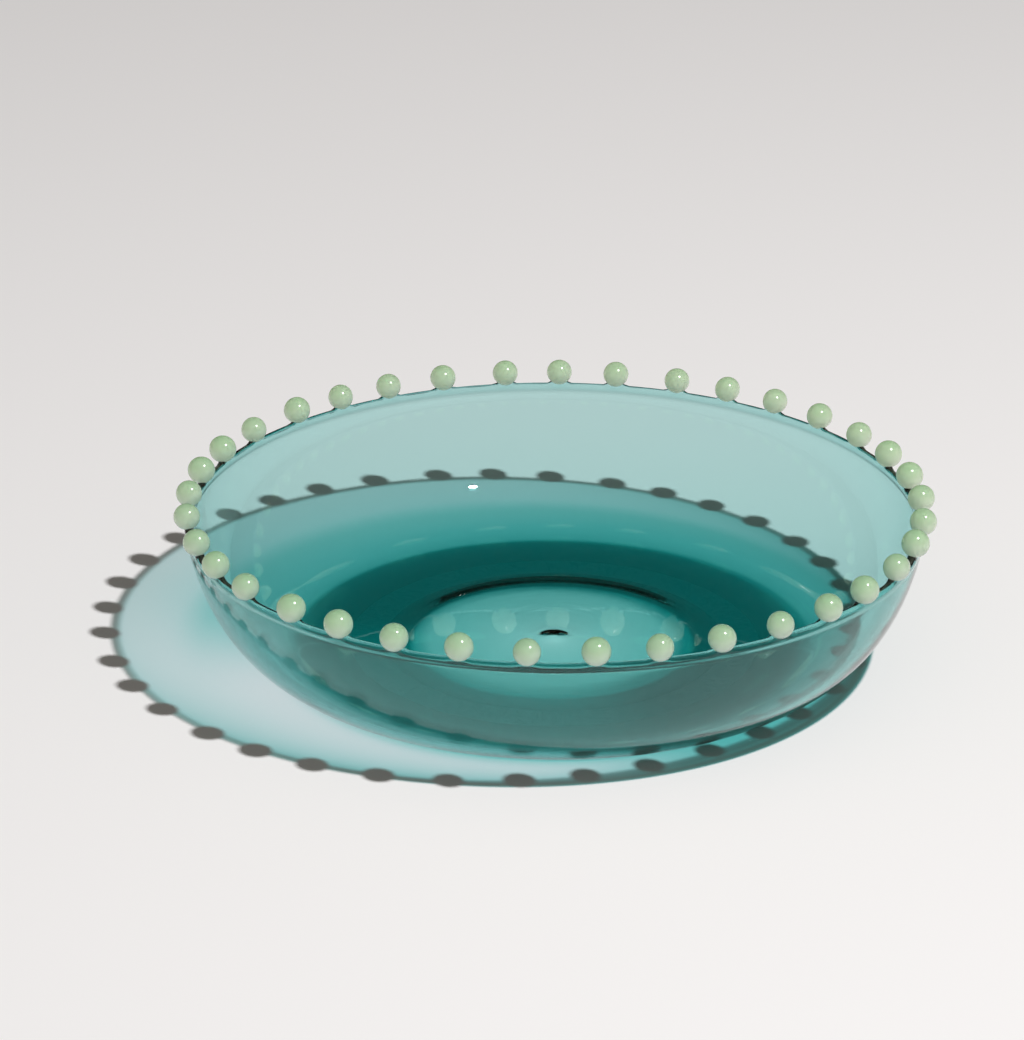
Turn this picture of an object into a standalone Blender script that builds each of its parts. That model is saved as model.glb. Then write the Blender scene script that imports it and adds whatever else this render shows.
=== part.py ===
"""Wide, shallow blown glass bowl with a ring of small glass beads fused along its rim.

Metres, +Z up. The origin is on the table, on the bowl's axis. The bowl is one turned shell that stands on
a flat ring, and each bead is a separate ball in its own small seat, drawn up from the rim's glass.
"""

import math

import bmesh
import bpy
import numpy as np

# Overall form
RIM_DIAMETER = 0.2584        # middle of the rim's thickness, across the bowl
RIM_HEIGHT = 0.0527          # table to the rim's crown, between two beads
FOOT_DIAMETER = 0.1520       # outer edge of the flat ring that stands on the table

# Glass thickness
RIM_THICKNESS = 0.0031       # the fire-polished edge, a small roll that is round on top
WALL_THICKNESS = 0.0026
HEEL_THICKNESS = 0.0043      # where the wall meets the base
KICK_THICKNESS = 0.0039      # at the top of the kick
BASE_THICKNESS = 0.0022      # in the middle of the base
THINNING_RUN = 0.030         # along the wall, from the heel's thickness to the wall's

# Rolled rim
ROLL_DROP = 0.0026           # from the middle of the roll down to the plain wall
ROLL_RECESS = 0.0003         # the roll stands this far outside the wall

# Base, pushed up in the middle
KICK_DIAMETER = 0.1220       # inner edge of the flat ring
KICK_WIDTH = 0.0120          # the slope from there to the raised middle
KICK_RISE = 0.0012
DIMPLE_DIAMETER = 0.0140     # mark of the tool that pushed it up
DIMPLE_RISE = 0.0009

# The wall's outer line is a superellipse: a flat run from the foot, then a quick turn upwards
SPRING_DIAMETER = 0.1320     # where the line, carried on under the base, would meet the table
WALL_FLATNESS = 3.56         # larger keeps the lower wall flat for longer
WALL_STEEPNESS = 1.425       # larger brings the upper wall nearer to vertical

# Beads
BEAD_COUNT = 37
BEAD_DIAMETER = 0.0096
BEAD_SIZE_SPREAD = 0.03      # share by which a hand-made bead is larger or smaller
BEAD_OUTSET = 0.0008         # bead centres lie this far outside the middle of the rim
BEAD_SINK = 0.0006           # a bead's lowest point lies this far below the rim's crown
BEAD_TURN_DEG = 0.4          # the first bead lies this far round from the back
BEAD_DRIFT_DEG = 0.85        # the spacing set by eye runs a little tight on one side of the bowl
BEAD_JITTER_DEG = 0.57       # and each bead is this far out at most
HAND_SEED = 45455

# Seats: low mounds of rim glass, hollowed to take the beads
SEAT_INSET = 0.0002          # a seat ends this far short of its bead's sides, along the rim
SEAT_SWELL = 0.0006          # and swells this far beyond each side of the rim
SEAT_RISE = 0.0015           # above the rim's crown
SEAT_GAP = 0.0003            # between a bead and its seat

# Glass
TEAL = (0.10, 0.42, 0.38)
TEAL_ROUGHNESS = 0.03
TEAL_CLEARNESS = 0.9         # share of the light that passes
JADE = (0.45, 0.62, 0.38)
JADE_ROUGHNESS = 0.08
JADE_CLEARNESS = 0.2
GLASS_IOR = 1.5

# Fineness of the meshes
TURN_STEPS = 72
WALL_STEPS = 10
ROLL_STEPS = 2
CROWN_STEPS = 4
BEAD_SEGMENTS = 10
BEAD_RINGS = 8
SEAT_SEGMENTS = 8
SEAT_RINGS = 6
WALL_CROWDING = 1.5          # above 1 brings more of the wall's points to its turn
WELD_DISTANCE = 1e-6
SHARP_ANGLE = math.radians(50)

RIM_RADIUS = RIM_DIAMETER / 2
CROWN_RADIUS = RIM_THICKNESS / 2
BEAD_RING_RADIUS = RIM_RADIUS + BEAD_OUTSET
FOOT_RADIUS = FOOT_DIAMETER / 2
SPRING_RADIUS = SPRING_DIAMETER / 2
KICK_RADIUS = KICK_DIAMETER / 2
DIMPLE_RADIUS = DIMPLE_DIAMETER / 2


def clear_scene():
    for old in list(bpy.data.objects):
        bpy.data.objects.remove(old, do_unlink=True)


def glass(name, colour, roughness, transmission):
    """Principled glass with its colour, roughness and share of light let through."""
    material = bpy.data.materials.new(name)
    material.use_nodes = True
    shader = material.node_tree.nodes["Principled BSDF"]
    shader.inputs["Base Color"].default_value = (*colour, 1.0)
    shader.inputs["Roughness"].default_value = roughness
    shader.inputs["Metallic"].default_value = 0.0
    shader.inputs["IOR"].default_value = GLASS_IOR
    shader.inputs["Transmission Weight"].default_value = transmission
    return material


def place(name, bm, material, parent, location=(0.0, 0.0, 0.0)):
    """Turns a bmesh into a smooth-shaded object under the parent empty."""
    mesh = bpy.data.meshes.new(name)
    bm.to_mesh(mesh)
    bm.free()
    mesh.shade_smooth()
    mesh.set_sharp_from_angle(angle=SHARP_ANGLE)
    if material:
        mesh.materials.append(material)
    made = bpy.data.objects.new(name, mesh)
    made.location = location
    made.parent = parent
    bpy.context.scene.collection.objects.link(made)
    return made


def cutter(made):
    """A helper that shapes another object and isn't a piece itself."""
    made.hide_render = True
    made.display_type = "WIRE"
    return made


def smooth_step(share):
    return share * share * (3 - 2 * share)


def outer_wall():
    """Points (r, z) on the outer wall from the foot up to the rim, with their outward normals."""
    top = RIM_HEIGHT - CROWN_RADIUS
    spread = RIM_RADIUS + CROWN_RADIUS - SPRING_RADIUS
    start = math.asin(((FOOT_RADIUS - SPRING_RADIUS) / spread) ** (WALL_FLATNESS / 2))
    neck = math.acos((ROLL_DROP / top) ** (WALL_STEEPNESS / 2))
    turn = start + np.linspace(0, 1, WALL_STEPS + 1) ** WALL_CROWDING * (neck - start)
    turn = np.append(turn, np.linspace(neck, math.pi / 2, ROLL_STEPS + 1)[1:])
    radius = SPRING_RADIUS + spread * np.sin(turn) ** (2 / WALL_FLATNESS)
    height = top * (1 - np.cos(turn) ** (2 / WALL_STEEPNESS))
    along_r, along_z = np.gradient(radius, turn), np.gradient(height, turn)
    along_r[-1] = 0.0
    length = np.hypot(along_r, along_z)
    return radius, height, along_z / length, -along_r / length


def wall_skins():
    """Points on the wall's outer and inner skins: it thins from the heel and swells into the roll."""
    radius, height, out_r, out_z = outer_wall()
    way = np.append(0.0, np.cumsum(np.hypot(np.diff(radius), np.diff(height))))
    roll = (1 + np.cos(math.pi * np.clip((height[-1] - height) / ROLL_DROP, 0, 1))) / 2
    thinned = smooth_step(np.minimum(way / THINNING_RUN, 1))
    thick = HEEL_THICKNESS + (WALL_THICKNESS - HEEL_THICKNESS) * thinned
    thick += (RIM_THICKNESS - WALL_THICKNESS) * roll
    recess = ROLL_RECESS * (1 - roll) * smooth_step(np.clip(2 * way / way[-1] - 1, 0, 1))
    return [list(zip(radius - deep * out_r, height - deep * out_z)) for deep in (recess, thick)]


def base_skins():
    """Points on the base's underside and inside, from the axis to the foot's outer edge."""
    kick_top = KICK_RADIUS - KICK_WIDTH
    radius = np.array([0.0, DIMPLE_RADIUS / 2, DIMPLE_RADIUS, kick_top, kick_top + KICK_WIDTH / 2,
                       KICK_RADIUS, FOOT_RADIUS])
    kick = smooth_step(np.clip((KICK_RADIUS - radius) / KICK_WIDTH, 0, 1))
    dimple = smooth_step(np.clip((DIMPLE_RADIUS - radius) / DIMPLE_RADIUS, 0, 1))
    floor = HEEL_THICKNESS + KICK_RISE * kick + DIMPLE_RISE * dimple
    thick = np.interp(radius, (0.0, kick_top, KICK_RADIUS),
                      (BASE_THICKNESS, KICK_THICKNESS, HEEL_THICKNESS))
    return list(zip(radius, floor - thick)), list(zip(radius, floor))


def bowl_profile():
    """The half section, from the axis on the underside out and up to the rim, then back inside."""
    under, floor = base_skins()
    outer, inner = wall_skins()
    crown = [(RIM_RADIUS + CROWN_RADIUS * math.cos(angle),
              RIM_HEIGHT - CROWN_RADIUS + CROWN_RADIUS * math.sin(angle))
             for angle in (math.pi * step / CROWN_STEPS for step in range(1, CROWN_STEPS))]
    return under + outer[1:] + crown + inner[:0:-1] + floor[::-1]


def turned(points):
    """Spins a half section round the Z axis into a closed shell."""
    bm = bmesh.new()
    line = [bm.verts.new((r, 0.0, z)) for r, z in points]
    edges = [bm.edges.new(pair) for pair in zip(line, line[1:])]
    bmesh.ops.spin(bm, geom=line + edges, cent=(0, 0, 0), axis=(0, 0, 1), angle=2 * math.pi,
                   steps=TURN_STEPS, use_merge=True, use_duplicate=False)
    bmesh.ops.remove_doubles(bm, verts=bm.verts, dist=WELD_DISTANCE)
    bmesh.ops.recalc_face_normals(bm, faces=bm.faces)
    return bm


def bead_places():
    """Each bead's angle round the rim, counted clockwise from the back, and its radius."""
    hand = np.random.default_rng(HAND_SEED)
    even = math.pi / 2 - 2 * math.pi * np.arange(BEAD_COUNT) / BEAD_COUNT
    drift = math.radians(BEAD_TURN_DEG) - math.radians(BEAD_DRIFT_DEG) * np.sin(even)
    jitter = math.radians(BEAD_JITTER_DEG) * hand.uniform(-1, 1, BEAD_COUNT)
    radius = BEAD_DIAMETER / 2 * (1 + BEAD_SIZE_SPREAD * hand.uniform(-1, 1, BEAD_COUNT))
    return list(zip(even + drift + jitter, radius))


def bead_centre(angle, radius):
    return (BEAD_RING_RADIUS * math.cos(angle),
            BEAD_RING_RADIUS * math.sin(angle),
            RIM_HEIGHT - BEAD_SINK + radius)


def add_ball(bm, centre, half, turn, segments, rings):
    """Adds a ball with these half widths along its own axes, turned about Z, to the bmesh."""
    ball = bmesh.ops.create_uvsphere(bm, u_segments=segments, v_segments=rings, radius=1.0)
    cos, sin = math.cos(turn), math.sin(turn)
    for vert in ball["verts"]:
        x, y, z = (vert.co[i] * half[i] for i in range(3))
        vert.co = (centre[0] + cos * x - sin * y, centre[1] + sin * x + cos * y, centre[2] + z)


def make_seats(places, parent):
    """The mounds to join to the rim and the hollows to take out of them, one pair for each bead."""
    mounds, hollows = bmesh.new(), bmesh.new()
    for angle, radius in places:
        foot = (RIM_RADIUS * math.cos(angle), RIM_RADIUS * math.sin(angle), RIM_HEIGHT - CROWN_RADIUS)
        half = (CROWN_RADIUS + SEAT_SWELL, radius - SEAT_INSET, CROWN_RADIUS + SEAT_RISE)
        add_ball(mounds, foot, half, angle, SEAT_SEGMENTS, SEAT_RINGS)
        hollow = [radius + SEAT_GAP] * 3
        add_ball(hollows, bead_centre(angle, radius), hollow, angle, BEAD_SEGMENTS, BEAD_RINGS)
    return (cutter(place("seat_mounds", mounds, None, parent)),
            cutter(place("seat_hollows", hollows, None, parent)))


def make_bowl(places, parent):
    teal = glass("teal_blown_glass", TEAL, TEAL_ROUGHNESS, TEAL_CLEARNESS)
    bowl = place("glass_bowl", turned(bowl_profile()), teal, parent)
    mounds, hollows = make_seats(places, parent)
    for helper, operation in ((mounds, "UNION"), (hollows, "DIFFERENCE")):
        shaping = bowl.modifiers.new(helper.name, "BOOLEAN")
        shaping.operation = operation
        shaping.solver = "EXACT"
        shaping.object = helper


def make_beads(places, parent):
    jade = glass("jade_bead_glass", JADE, JADE_ROUGHNESS, JADE_CLEARNESS)
    for number, (angle, radius) in enumerate(places, 1):
        bm = bmesh.new()
        add_ball(bm, (0.0, 0.0, 0.0), [radius] * 3, angle, BEAD_SEGMENTS, BEAD_RINGS)
        place(f"bead_{number:02d}", bm, jade, parent, bead_centre(angle, radius))


def main():
    clear_scene()
    stand = bpy.data.objects.new("bowl_axis", None)
    bpy.context.scene.collection.objects.link(stand)
    places = bead_places()
    make_bowl(places, stand)
    make_beads(places, stand)


main()
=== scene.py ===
"""Looks of a teal blown glass bowl with jade glass beads on its rim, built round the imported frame."""

import math

import bpy
import numpy as np
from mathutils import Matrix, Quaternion, Vector


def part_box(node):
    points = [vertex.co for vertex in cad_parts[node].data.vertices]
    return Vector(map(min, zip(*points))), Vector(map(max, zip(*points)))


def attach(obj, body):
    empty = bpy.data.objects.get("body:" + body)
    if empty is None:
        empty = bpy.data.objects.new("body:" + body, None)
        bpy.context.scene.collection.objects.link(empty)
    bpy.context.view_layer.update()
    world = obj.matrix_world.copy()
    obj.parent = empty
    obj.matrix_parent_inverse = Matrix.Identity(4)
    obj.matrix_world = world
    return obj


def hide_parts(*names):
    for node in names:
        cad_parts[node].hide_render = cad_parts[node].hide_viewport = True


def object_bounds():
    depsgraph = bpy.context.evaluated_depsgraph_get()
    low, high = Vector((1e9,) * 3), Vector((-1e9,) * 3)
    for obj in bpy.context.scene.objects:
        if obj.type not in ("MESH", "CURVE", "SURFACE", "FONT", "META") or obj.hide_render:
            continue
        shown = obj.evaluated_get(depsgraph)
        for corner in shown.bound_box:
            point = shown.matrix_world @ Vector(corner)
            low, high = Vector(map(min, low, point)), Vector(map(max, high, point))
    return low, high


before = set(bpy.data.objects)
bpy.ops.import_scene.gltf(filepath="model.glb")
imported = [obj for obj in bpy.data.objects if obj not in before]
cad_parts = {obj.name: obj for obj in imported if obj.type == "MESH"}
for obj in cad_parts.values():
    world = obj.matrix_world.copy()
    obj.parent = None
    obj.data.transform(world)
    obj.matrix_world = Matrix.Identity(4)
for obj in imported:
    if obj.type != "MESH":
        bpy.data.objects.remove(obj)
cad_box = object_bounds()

# Sizes of the bowl, in metres, as in the part's source
RIM_RADIUS = 0.1292
RIM_HEIGHT = 0.0527
RIM_THICKNESS = 0.0031
WALL_THICKNESS = 0.0026
HEEL_THICKNESS = 0.0043
KICK_THICKNESS = 0.0039      # at the top of the kick
BASE_THICKNESS = 0.0022      # in the middle
THINNING_RUN = 0.030         # along the wall, from the heel's thickness to the wall's
SPRING_RADIUS = 0.0660
WALL_FLATNESS = 3.56
WALL_STEEPNESS = 1.425
FOOT_RADIUS = 0.0760
KICK_RADIUS = 0.0610
KICK_WIDTH = 0.0120
KICK_RISE = 0.0012           # on the inside
DIMPLE_RADIUS = 0.0070
DIMPLE_RISE = 0.0009
SEAT_SWELL = 0.0006
SEAT_RISE = 0.0015
CROWN_RADIUS = RIM_THICKNESS / 2

# The hand in hand-blown: the rolled rim, how far the wall wanders, and the seats under the beads
ROLL_DROP = 0.0026           # from the middle of the rim's roll down to the plain wall
ROLL_RECESS = 0.0003         # the roll stands this far outside the wall
WALL_WANDER = 0.00018
WALL_WAVES = ((2, 1.0, 0.7), (3, 0.6, 2.1), (5, 0.4, 4.0))  # waves in a turn, strength, phase
SEAT_TOP = 0.0016            # half length of a seat along the rim at its top, and at its foot
SEAT_FOOT = 0.0043
SEAT_DEPTH = 0.0016          # below the crown, where a seat's glass is drawn from
BEAD_OVAL = 0.010            # shares of a bead's radius: how oval, and how pear-shaped, it is at most
BEAD_PEAR = 0.008
BEAD_SEED = 11

# Painted shadow and painted caustic light: how much of the lamp's light each skin of the glass lets
# straight on to the table beneath and behind it. The columns are the way out and up from the middle
# of the base, then red, green and blue shares at the back and at the front. The values are set for
# this lamp. The dark rows paint the shade under the thick heel and along the round rim, which bend
# most of the light aside, and the front columns paint more light let out by the lower wall at the
# front. Above 1, the share paints light that the glass gathers.
LAMP_SHARE = (
    (0.0510, 1.11, 1.11, 1.11, 1.11, 1.11, 1.11),
    (0.0525, 0.00, 0.54, 0.54, 0.00, 0.72, 0.72),
    (0.0940, 0.00, 0.54, 0.54, 0.00, 0.72, 0.72),
    (0.0955, 0.47, 0.83, 0.83, 0.78, 0.92, 0.92),
    (0.1050, 0.47, 0.83, 0.83, 1.22, 1.02, 1.05),
    (0.1350, 0.52, 0.83, 0.83, 1.22, 1.02, 1.05),
    (0.1500, 0.90, 0.92, 0.94, 1.22, 1.02, 1.05),
    (0.1785, 1.00, 0.92, 0.94, 1.22, 1.02, 1.05),
    (0.1800, 0.38, 0.38, 0.38, 0.52, 0.52, 0.52),
)
SHARE_FRONT = math.radians(-124)
SHARE_SLOPE = 1.6            # how fast the shares turn from back to front, and where they start to
SHARE_START = 0.4

# Patterns in the glass
RING_SPACING = 0.003125      # tool rings round the axis
WAVE_SPACING = 0.0555        # slow waves of the blown skin
CLOUD_SIZE = 0.00435         # clouds in the beads

# Fineness of the meshes
FINE_STEPS = 4001
WALL_STEPS = 44
HEEL_CROWDING = 3            # how much closer together the wall's points are there
RIM_CROWDING = 7
CROWDING_RUN = 0.004
CROWN_STEPS = 14
BASE_STEPS = (10, 6, 18, 6)  # across the dimple, the raised middle, the kick and the flat ring
STATIONS_PER_BEAD = 13
STATION_CROWDING = 0.6       # 0 spaces the stations evenly, nearer 1 gathers them at the beads
BEAD_TURNS = 48
BEAD_RINGS = 30

# Camera
CAMERA_DISTANCE = 1.597
CAMERA_AZIMUTH = math.radians(0.287)
CAMERA_ELEVATION = math.radians(22.34)
CAMERA_CENTRE = Vector((0.0, 0.0, 0.056))
CAMERA_AIM = Vector((-0.0149, -0.0152, 0.056))
CAMERA_ROLL = math.radians(-0.19)
CAMERA_LENS = 156.3          # mm, on a sensor 36 mm along the picture's long side

# Light
KEY_AZIMUTH = math.radians(-46.8)
KEY_ELEVATION = math.radians(57.6)
KEY_DISTANCE = 1.28
KEY_RADIUS = 0.022
KEY_POWER = 36.5
BACKDROP_AZIMUTH = math.radians(90)     # middle of the room's dark side
BACKDROP_ELEVATION = math.radians(25)
TABLE_HALF = 20.0

BEADS = sorted(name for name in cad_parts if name.startswith("bead_"))


def linear(hex_colour):
    """sRGB hex to the linear colour that shaders take."""
    parts = np.array([int(hex_colour[i:i + 2], 16) for i in (0, 2, 4)]) / 255
    return (*np.where(parts <= 0.04045, parts / 12.92, ((parts + 0.055) / 1.055) ** 2.4), 1.0)


def smooth_step(share):
    """An S-curve from 0 to 1."""
    return share * share * (3 - 2 * share)


def add_node(tree, kind, links=(), **settings):
    """Adds a node. A setting named for a property of the node sets that, and any other sets the
    socket of its name. Each link is (socket name or number, the output that feeds it)."""
    made = tree.nodes.new(kind)
    for name, value in settings.items():
        if hasattr(made, name):
            setattr(made, name, value)
        else:
            made.inputs[name.replace("_", " ")].default_value = value
    for socket, source in links:
        tree.links.new(source, made.inputs[socket])
    return made


def new_material(name):
    """An empty node material and its output node."""
    made = bpy.data.materials.new(name)
    made.use_nodes = True
    made.node_tree.nodes.clear()
    return made, made.node_tree, made.node_tree.nodes.new("ShaderNodeOutputMaterial")


def grid_mesh(name, points, material):
    """A closed skin from a grid of points [row, column, xyz]: columns go round and join up,
    and the first and last rows are single points, at the poles."""
    rows, columns = points.shape[:2]
    ring = points[1:-1].reshape(-1, 3)
    verts = np.concatenate([points[:1, 0], ring, points[-1:, 0]])
    inner = np.arange((rows - 2) * columns).reshape(rows - 2, columns) + 1
    after = np.roll(inner, -1, axis=1)
    quads = np.stack([inner[:-1], after[:-1], after[1:], inner[1:]], axis=-1).reshape(-1, 4)
    last = len(verts) - 1
    start = np.stack([np.zeros(columns, int), after[0], inner[0]], axis=-1)
    end = np.stack([np.full(columns, last), inner[-1], after[-1]], axis=-1)
    mesh = bpy.data.meshes.new(name)
    mesh.from_pydata(verts.tolist(), [], start.tolist() + quads.tolist() + end.tolist())
    mesh.shade_smooth()
    mesh.materials.append(material)
    piece = bpy.data.objects.new(name, mesh)
    bpy.context.scene.collection.objects.link(piece)
    return piece


def bead_frame(node):
    """A bead's centre and radius, from its CAD solid."""
    low, high = (np.array(corner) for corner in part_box(node))
    return (low + high) / 2, (high[2] - low[2]) / 2


def rise_inside(radius, edge, width, height):
    """A rise of this height by an S-curve, starting at the edge and going inwards for the width."""
    return height * smooth_step(np.clip((edge - radius) / width, 0, 1))


def wall_line():
    """The outer wall from the foot to the rim: a superellipse, whose r and z are powers of the sine
    and cosine of a turn that ends at 90 degrees. Gives r, z, the outward normal and the way along."""
    top = RIM_HEIGHT - CROWN_RADIUS
    spread = RIM_RADIUS + CROWN_RADIUS - SPRING_RADIUS
    start = math.asin(((FOOT_RADIUS - SPRING_RADIUS) / spread) ** (WALL_FLATNESS / 2))
    turn = start + np.linspace(0, 1, FINE_STEPS) ** 2 * (math.pi / 2 - start)
    radius = SPRING_RADIUS + spread * np.sin(turn) ** (2 / WALL_FLATNESS)
    height = top * (1 - np.cos(turn) ** (2 / WALL_STEEPNESS))
    along_r, along_z = np.gradient(radius), np.gradient(height)
    along_r[-1] = 0.0
    step = np.hypot(along_r, along_z)
    return radius, height, along_z / step, -along_r / step, np.cumsum(step)


def wall_skins():
    """The wall's outer and inner skins as (r, z), each with WALL_STEPS + 1 points, closer together at
    the heel and the rim. The glass thins up the wall, and a cosine fillet swells it into the roll."""
    radius, height, out_r, out_z, way = wall_line()
    share = way / way[-1]
    roll = (1 + np.cos(math.pi * np.clip((height[-1] - height) / ROLL_DROP, 0, 1))) / 2
    thinning = smooth_step(np.minimum(way / THINNING_RUN, 1))
    thick = HEEL_THICKNESS + (WALL_THICKNESS - HEEL_THICKNESS) * thinning
    thick = thick + (RIM_THICKNESS - WALL_THICKNESS) * roll
    recess = ROLL_RECESS * (1 - roll) * smooth_step(np.clip(2 * share - 1, 0, 1))
    crowd = 1 + HEEL_CROWDING * np.exp(-way / CROWDING_RUN)
    crowd = crowd + RIM_CROWDING * np.exp((way - way[-1]) / CROWDING_RUN)
    weight = np.cumsum(np.gradient(way) * crowd)
    at = np.linspace(weight[0], weight[-1], WALL_STEPS + 1)
    skins = [(radius - deep * out_r, height - deep * out_z) for deep in (recess, thick)]
    return [[np.interp(at, weight, line) for line in skin] for skin in skins]


def bowl_section():
    """The half section as rows of (r, z), from the axis underneath, out along the base, up the wall,
    over the round crown and down the inside to the axis, with each row's share of the seats' lift."""
    outer, inner = wall_skins()
    ends = (0, DIMPLE_RADIUS, KICK_RADIUS - KICK_WIDTH, KICK_RADIUS, FOOT_RADIUS)
    base = np.concatenate([np.linspace(low, high, steps, endpoint=False)
                           for low, high, steps in zip(ends, ends[1:], BASE_STEPS)])
    dimple = rise_inside(base, DIMPLE_RADIUS, DIMPLE_RADIUS, DIMPLE_RISE)
    floor = dimple + rise_inside(base, KICK_RADIUS, KICK_WIDTH, KICK_RISE) + inner[1][0]
    thick = np.interp(base, (0, KICK_RADIUS - KICK_WIDTH, KICK_RADIUS),
                      (BASE_THICKNESS, KICK_THICKNESS, HEEL_THICKNESS))
    under = floor - inner[1][0] + HEEL_THICKNESS - thick
    crown = np.linspace(0, math.pi, CROWN_STEPS + 1)[1:-1]
    lines = [
        (base, under),
        outer,
        (RIM_RADIUS + CROWN_RADIUS * np.cos(crown), RIM_HEIGHT - CROWN_RADIUS * (1 - np.sin(crown))),
        (inner[0][::-1], inner[1][::-1]),
        (base[::-1], floor[::-1]),
    ]
    r, z = (np.concatenate([line[i] for line in lines]) for i in (0, 1))
    lift = smooth_step(np.clip((z - (RIM_HEIGHT - SEAT_DEPTH)) / SEAT_DEPTH, 0, 1))
    return r, z, lift


def bead_stations(angles):
    """Angles round the rim, gathered at the beads: between two beads a share t from 0 to 1 becomes
    t less a part of sin(2 pi t) / (2 pi), which slows it at both ends."""
    share = np.arange(STATIONS_PER_BEAD) / STATIONS_PER_BEAD
    share = share - STATION_CROWDING * np.sin(2 * math.pi * share) / (2 * math.pi)
    following = np.append(angles[1:], angles[0] + 2 * math.pi)
    return (angles[:, None] + share * (following - angles)[:, None]).ravel()


def store_painted_share(mesh):
    """Keeps, at each point, the painted shadow and painted caustic light of the glass: how much of the
    lamp's light goes straight on through it, read from the table of shares above at the point's radius
    plus its height, and blended from back to front by an S-curve of the cosine of its angle from the
    front."""
    points = np.empty(3 * len(mesh.vertices), np.float32)
    mesh.vertices.foreach_get("co", points)
    x, y, z = points.reshape(-1, 3).T
    facing = np.cos(np.arctan2(y, x) - SHARE_FRONT)
    front = smooth_step(np.clip(SHARE_SLOPE * facing - SHARE_START, 0, 1))
    way, *shares = np.array(LAMP_SHARE).T
    read = np.stack([np.interp(np.hypot(x, y) + z, way, share) for share in shares], axis=-1)
    colour = np.ones((len(read), 4), np.float32)
    colour[:, :3] = read[:, :3] + (read[:, 3:] - read[:, :3]) * front[:, None]
    stored = mesh.attributes.new("painted_light_share", "FLOAT_COLOR", "POINT")
    stored.data.foreach_set("color", colour.ravel())


def make_bowl(material):
    """The bowl: the half section carried round the axis. A slow sum of waves moves the wall in and out
    along its radius, and near each bead the crown rises and swells into the bead's seat by an S-curve
    of the way along the rim from the bead."""
    centres = np.array([bead_frame(name)[0] for name in BEADS])
    angles = np.sort(np.arctan2(centres[:, 1], centres[:, 0]))
    turn = bead_stations(angles)
    r, z, lift = bowl_section()
    away = np.abs((turn[:, None] - angles + math.pi) % (2 * math.pi) - math.pi).min(axis=1)
    bell = 1 - smooth_step(np.clip((away * RIM_RADIUS - SEAT_TOP) / (SEAT_FOOT - SEAT_TOP), 0, 1))
    wander = WALL_WANDER * sum(strength * np.cos(count * turn + phase)
                               for count, strength, phase in WALL_WAVES)
    low = np.clip(z / RIM_HEIGHT, 0, 1) * (1 - lift)
    middle = np.where(lift > 0, (r - RIM_RADIUS) / CROWN_RADIUS, 0.0)
    radius = r[:, None] + np.outer(low, wander) + SEAT_SWELL * np.outer(lift * middle, bell)
    radius = np.where(r[:, None] == 0, 0.0, radius)
    height = z[:, None] + SEAT_RISE * np.outer(lift ** 2, bell)
    points = np.stack([radius * np.cos(turn), radius * np.sin(turn), height], axis=-1)
    piece = grid_mesh("teal_bowl", points, material)
    store_painted_share(piece.data)
    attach(piece, "root")
    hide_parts("glass_bowl")


def make_beads(material):
    """Each bead: a sphere whose radius is let out or in by two slow waves, so that no two are alike."""
    hand = np.random.default_rng(BEAD_SEED)
    rise = np.linspace(-math.pi / 2, math.pi / 2, BEAD_RINGS + 1)[:, None]
    turn = np.linspace(0, 2 * math.pi, BEAD_TURNS, endpoint=False)[None, :]
    for node in BEADS:
        centre, size = bead_frame(node)
        phase = hand.uniform(0, 2 * math.pi, 3)
        oval = BEAD_OVAL * np.cos(rise) ** 2 * np.cos(2 * turn + phase[0])
        pear = BEAD_PEAR * np.sin(2 * rise + phase[1]) * np.cos(rise) * np.cos(turn + phase[2])
        radius = size * (1 + (oval + pear))
        points = np.stack([radius * np.cos(rise) * np.cos(turn),
                           radius * np.cos(rise) * np.sin(turn),
                           radius * np.sin(rise) + 0 * turn], axis=-1)
        piece = grid_mesh(f"jade_{node}", points + centre, material)
        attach(piece, "root")
        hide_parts(node)


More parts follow.
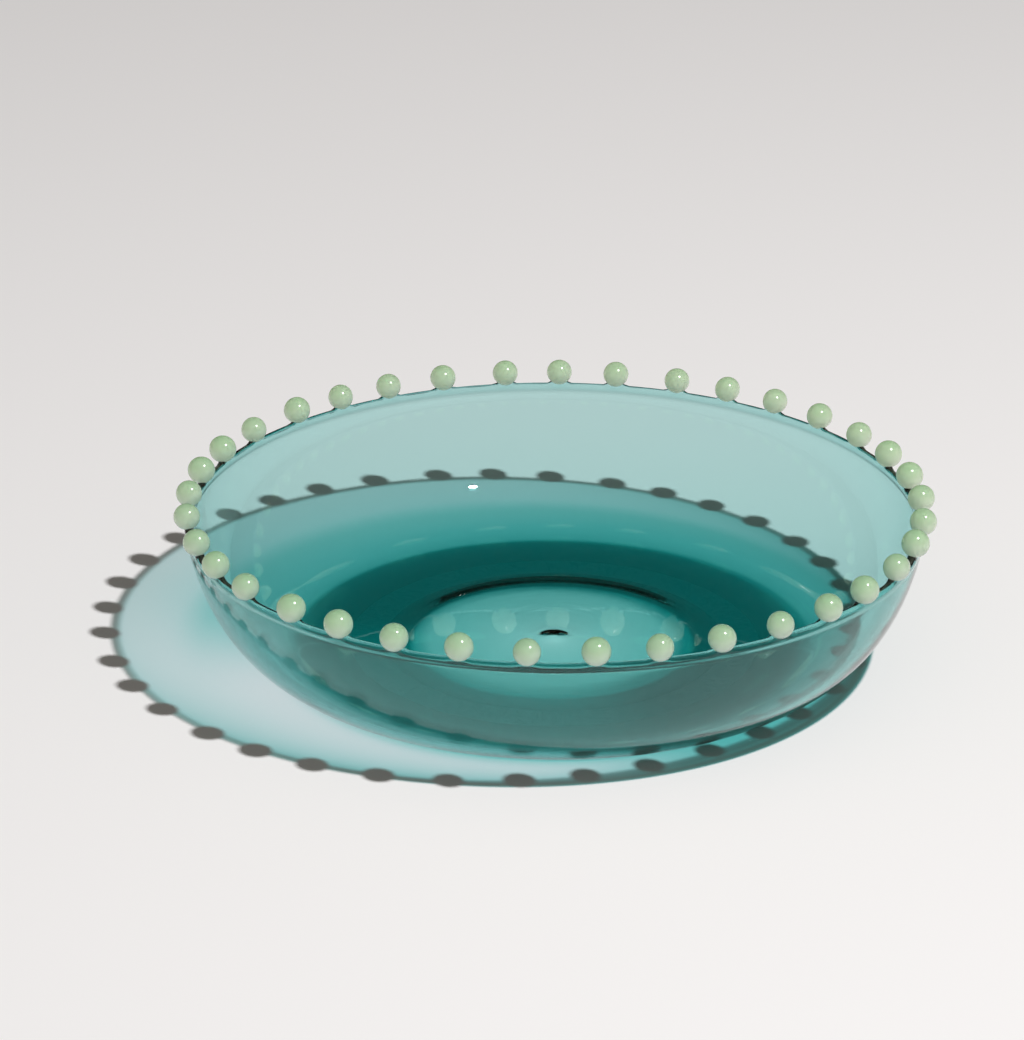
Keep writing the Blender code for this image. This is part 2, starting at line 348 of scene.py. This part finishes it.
def teal_blown_glass():
    """Soda-lime glass, blown and fire-polished: clear and hard-edged in its reflections, teal by its
    thickness, so that edges, the base and doubled walls go deep while one wall stays pale."""
    made, tree, out = new_material("teal_blown_soda_lime_glass")
    place = add_node(tree, "ShaderNodeTexCoord").outputs["Object"]
    axes = add_node(tree, "ShaderNodeSeparateXYZ", [(0, place)]).outputs
    flat = add_node(tree, "ShaderNodeCombineXYZ", [(0, axes["X"]), (1, axes["Y"])])
    radius = add_node(tree, "ShaderNodeVectorMath", [(0, flat.outputs[0])], operation="LENGTH")
    rings = add_node(tree, "ShaderNodeTexNoise", [("W", radius.outputs["Value"])],
                     noise_dimensions="1D", Scale=1 / RING_SPACING, Detail=2.0)
    slow = add_node(tree, "ShaderNodeTexNoise", [("Vector", place)],
                    Scale=1 / WAVE_SPACING, Detail=0.0)
    swell = add_node(tree, "ShaderNodeBump", [("Height", slow.outputs["Fac"])],
                     Strength=1.0, Distance=0.0004)
    bump = add_node(tree, "ShaderNodeBump",
                    [("Height", rings.outputs["Fac"]), ("Normal", swell.outputs[0])],
                    Strength=1.0, Distance=0.00001)
    glass = add_node(tree, "ShaderNodeBsdfPrincipled", [("Normal", bump.outputs[0])],
                     Base_Color=(1, 1, 1, 1), Roughness=0.0, IOR=1.5, Transmission_Weight=1.0)
    # Shadow rays and diffuse rays pass straight through, coloured by the stored share: painted shadow
    # and painted caustic light on the table beneath.
    share = add_node(tree, "ShaderNodeAttribute", attribute_name="painted_light_share")
    passing = add_node(tree, "ShaderNodeBsdfTransparent", [("Color", share.outputs["Color"])])
    path = add_node(tree, "ShaderNodeLightPath")
    lamps = add_node(tree, "ShaderNodeMixShader", [
        (0, path.outputs["Is Shadow Ray"]), (1, glass.outputs[0]), (2, passing.outputs[0])])
    soft = add_node(tree, "ShaderNodeMixShader", [
        (0, path.outputs["Is Diffuse Ray"]), (1, lamps.outputs[0]), (2, passing.outputs[0])])
    tint = add_node(tree, "ShaderNodeVolumeAbsorption", Color=(0.0, 0.67, 0.65, 1.0), Density=255.0)
    tree.links.new(soft.outputs[0], out.inputs["Surface"])
    tree.links.new(tint.outputs[0], out.inputs["Volume"])
    return made


def jade_bead_glass():
    """Opal glass, drawn into a ball in the flame: milky, with light soaking some way in, slow clouds
    in its green, and a wet gloss. The green is painted lighter at the bottom, where light gathers
    through the ball, and darker at the top as painted shade."""
    made, tree, out = new_material("jade_flameworked_opal_glass")
    place = add_node(tree, "ShaderNodeTexCoord").outputs["Object"]
    high = add_node(tree, "ShaderNodeSeparateXYZ", [(0, place)]).outputs["Z"]
    cloud = add_node(tree, "ShaderNodeTexNoise", [("Vector", place)],
                     Scale=1 / CLOUD_SIZE, Detail=3.0)
    drift = add_node(tree, "ShaderNodeMapRange", [("Value", cloud.outputs["Fac"])],
                     To_Min=-0.0015, To_Max=0.0015)
    painted_light_height = add_node(tree, "ShaderNodeMath", [(0, high), (1, drift.outputs[0])], operation="ADD")
    share = add_node(tree, "ShaderNodeMapRange", [("Value", painted_light_height.outputs[0])],
                     From_Min=RIM_HEIGHT, From_Max=cad_box[1][2])
    # Painted light and shade: light green at the bottom of each bead, darker green at its top, by
    # height from the rim to the beads' top, with the clouds stirring the line between.
    green = add_node(tree, "ShaderNodeValToRGB", [("Fac", share.outputs[0])])
    green.color_ramp.elements[0].color = linear("d2fcba")
    green.color_ramp.elements[1].color = linear("90cc86")
    skin = add_node(tree, "ShaderNodeBsdfPrincipled", [("Base Color", green.outputs[0])],
                    Roughness=0.17, IOR=1.5, Subsurface_Weight=1.0,
                    Subsurface_Radius=(1.0, 1.0, 0.8), Subsurface_Scale=0.055)
    tree.links.new(skin.outputs[0], out.inputs["Surface"])
    return made


def pale_table():
    """A plain pale table top."""
    made, tree, out = new_material("pale_matt_table")
    top = add_node(tree, "ShaderNodeBsdfPrincipled",
                   Base_Color=linear("f5f4f4"), Roughness=0.7, Specular_IOR_Level=0.1)
    tree.links.new(top.outputs[0], out.inputs["Surface"])
    mesh = bpy.data.meshes.new("table")
    corners = [(TABLE_HALF * x, TABLE_HALF * y, 0) for x, y in ((-1, -1), (1, -1), (1, 1), (-1, 1))]
    mesh.from_pydata(corners, [], [(0, 1, 2, 3)])
    mesh.materials.append(made)
    table = bpy.data.objects.new("table", mesh)
    bpy.context.scene.collection.objects.link(table)


def direction(azimuth, elevation):
    """The unit vector at an azimuth from +X and an elevation."""
    flat = math.cos(elevation)
    return Vector((flat * math.cos(azimuth), flat * math.sin(azimuth), math.sin(elevation)))


def make_lamp():
    """One small key lamp from the right and in front, equally bright at any distance."""
    lamp = bpy.data.lights.new("key", "POINT")
    lamp.energy = KEY_POWER
    lamp.shadow_soft_size = KEY_RADIUS
    lamp.use_nodes = True
    even = add_node(lamp.node_tree, "ShaderNodeLightFalloff", Strength=1.0)
    glow = lamp.node_tree.nodes["Emission"]
    lamp.node_tree.links.new(even.outputs["Constant"], glow.inputs["Strength"])
    key = bpy.data.objects.new("key", lamp)
    key.location = KEY_DISTANCE * direction(KEY_AZIMUTH, KEY_ELEVATION)
    bpy.context.scene.collection.objects.link(key)


def make_room():
    """A grey room with a dark side behind the bowl: grey turns to dark with the cosine of the angle
    from the middle of that side."""
    world = bpy.data.worlds.new("room")
    bpy.context.scene.world = world
    world.use_nodes = True
    tree = world.node_tree
    way = add_node(tree, "ShaderNodeTexCoord").outputs["Object"]
    toward = add_node(tree, "ShaderNodeVectorMath", [(0, way)], operation="DOT_PRODUCT")
    toward.inputs[1].default_value = direction(BACKDROP_AZIMUTH, BACKDROP_ELEVATION)
    tone = add_node(tree, "ShaderNodeValToRGB", [(0, toward.outputs["Value"])])
    stops = tone.color_ramp.elements
    stops[0].position = 0.50
    stops[0].color = linear("807b77")
    stops[1].position = 0.80
    stops[1].color = linear("24170f")
    tree.links.new(tone.outputs[0], tree.nodes["Background"].inputs["Color"])


def make_camera():
    """The camera, set round the middle of the bead ring and turned to its aim."""
    lens = bpy.data.cameras.new("camera")
    lens.lens = CAMERA_LENS
    lens.sensor_width = 36.0
    camera = bpy.data.objects.new("camera", lens)
    camera.location = CAMERA_CENTRE + CAMERA_DISTANCE * Vector((
        math.sin(CAMERA_AZIMUTH) * math.cos(CAMERA_ELEVATION),
        -math.cos(CAMERA_AZIMUTH) * math.cos(CAMERA_ELEVATION),
        math.sin(CAMERA_ELEVATION)))
    look = CAMERA_AIM - camera.location
    camera.rotation_mode = "QUATERNION"
    camera.rotation_quaternion = Quaternion(look, CAMERA_ROLL) @ look.to_track_quat("-Z", "Y")
    bpy.context.scene.collection.objects.link(camera)
    bpy.context.scene.camera = camera


for old in ("Cube", "Light", "Camera"):
    if old in bpy.data.objects:
        bpy.data.objects.remove(bpy.data.objects[old])
bpy.context.scene.view_settings.view_transform = "Standard"
make_camera()
make_bowl(teal_blown_glass())
make_beads(jade_bead_glass())
pale_table()
make_lamp()
make_room()
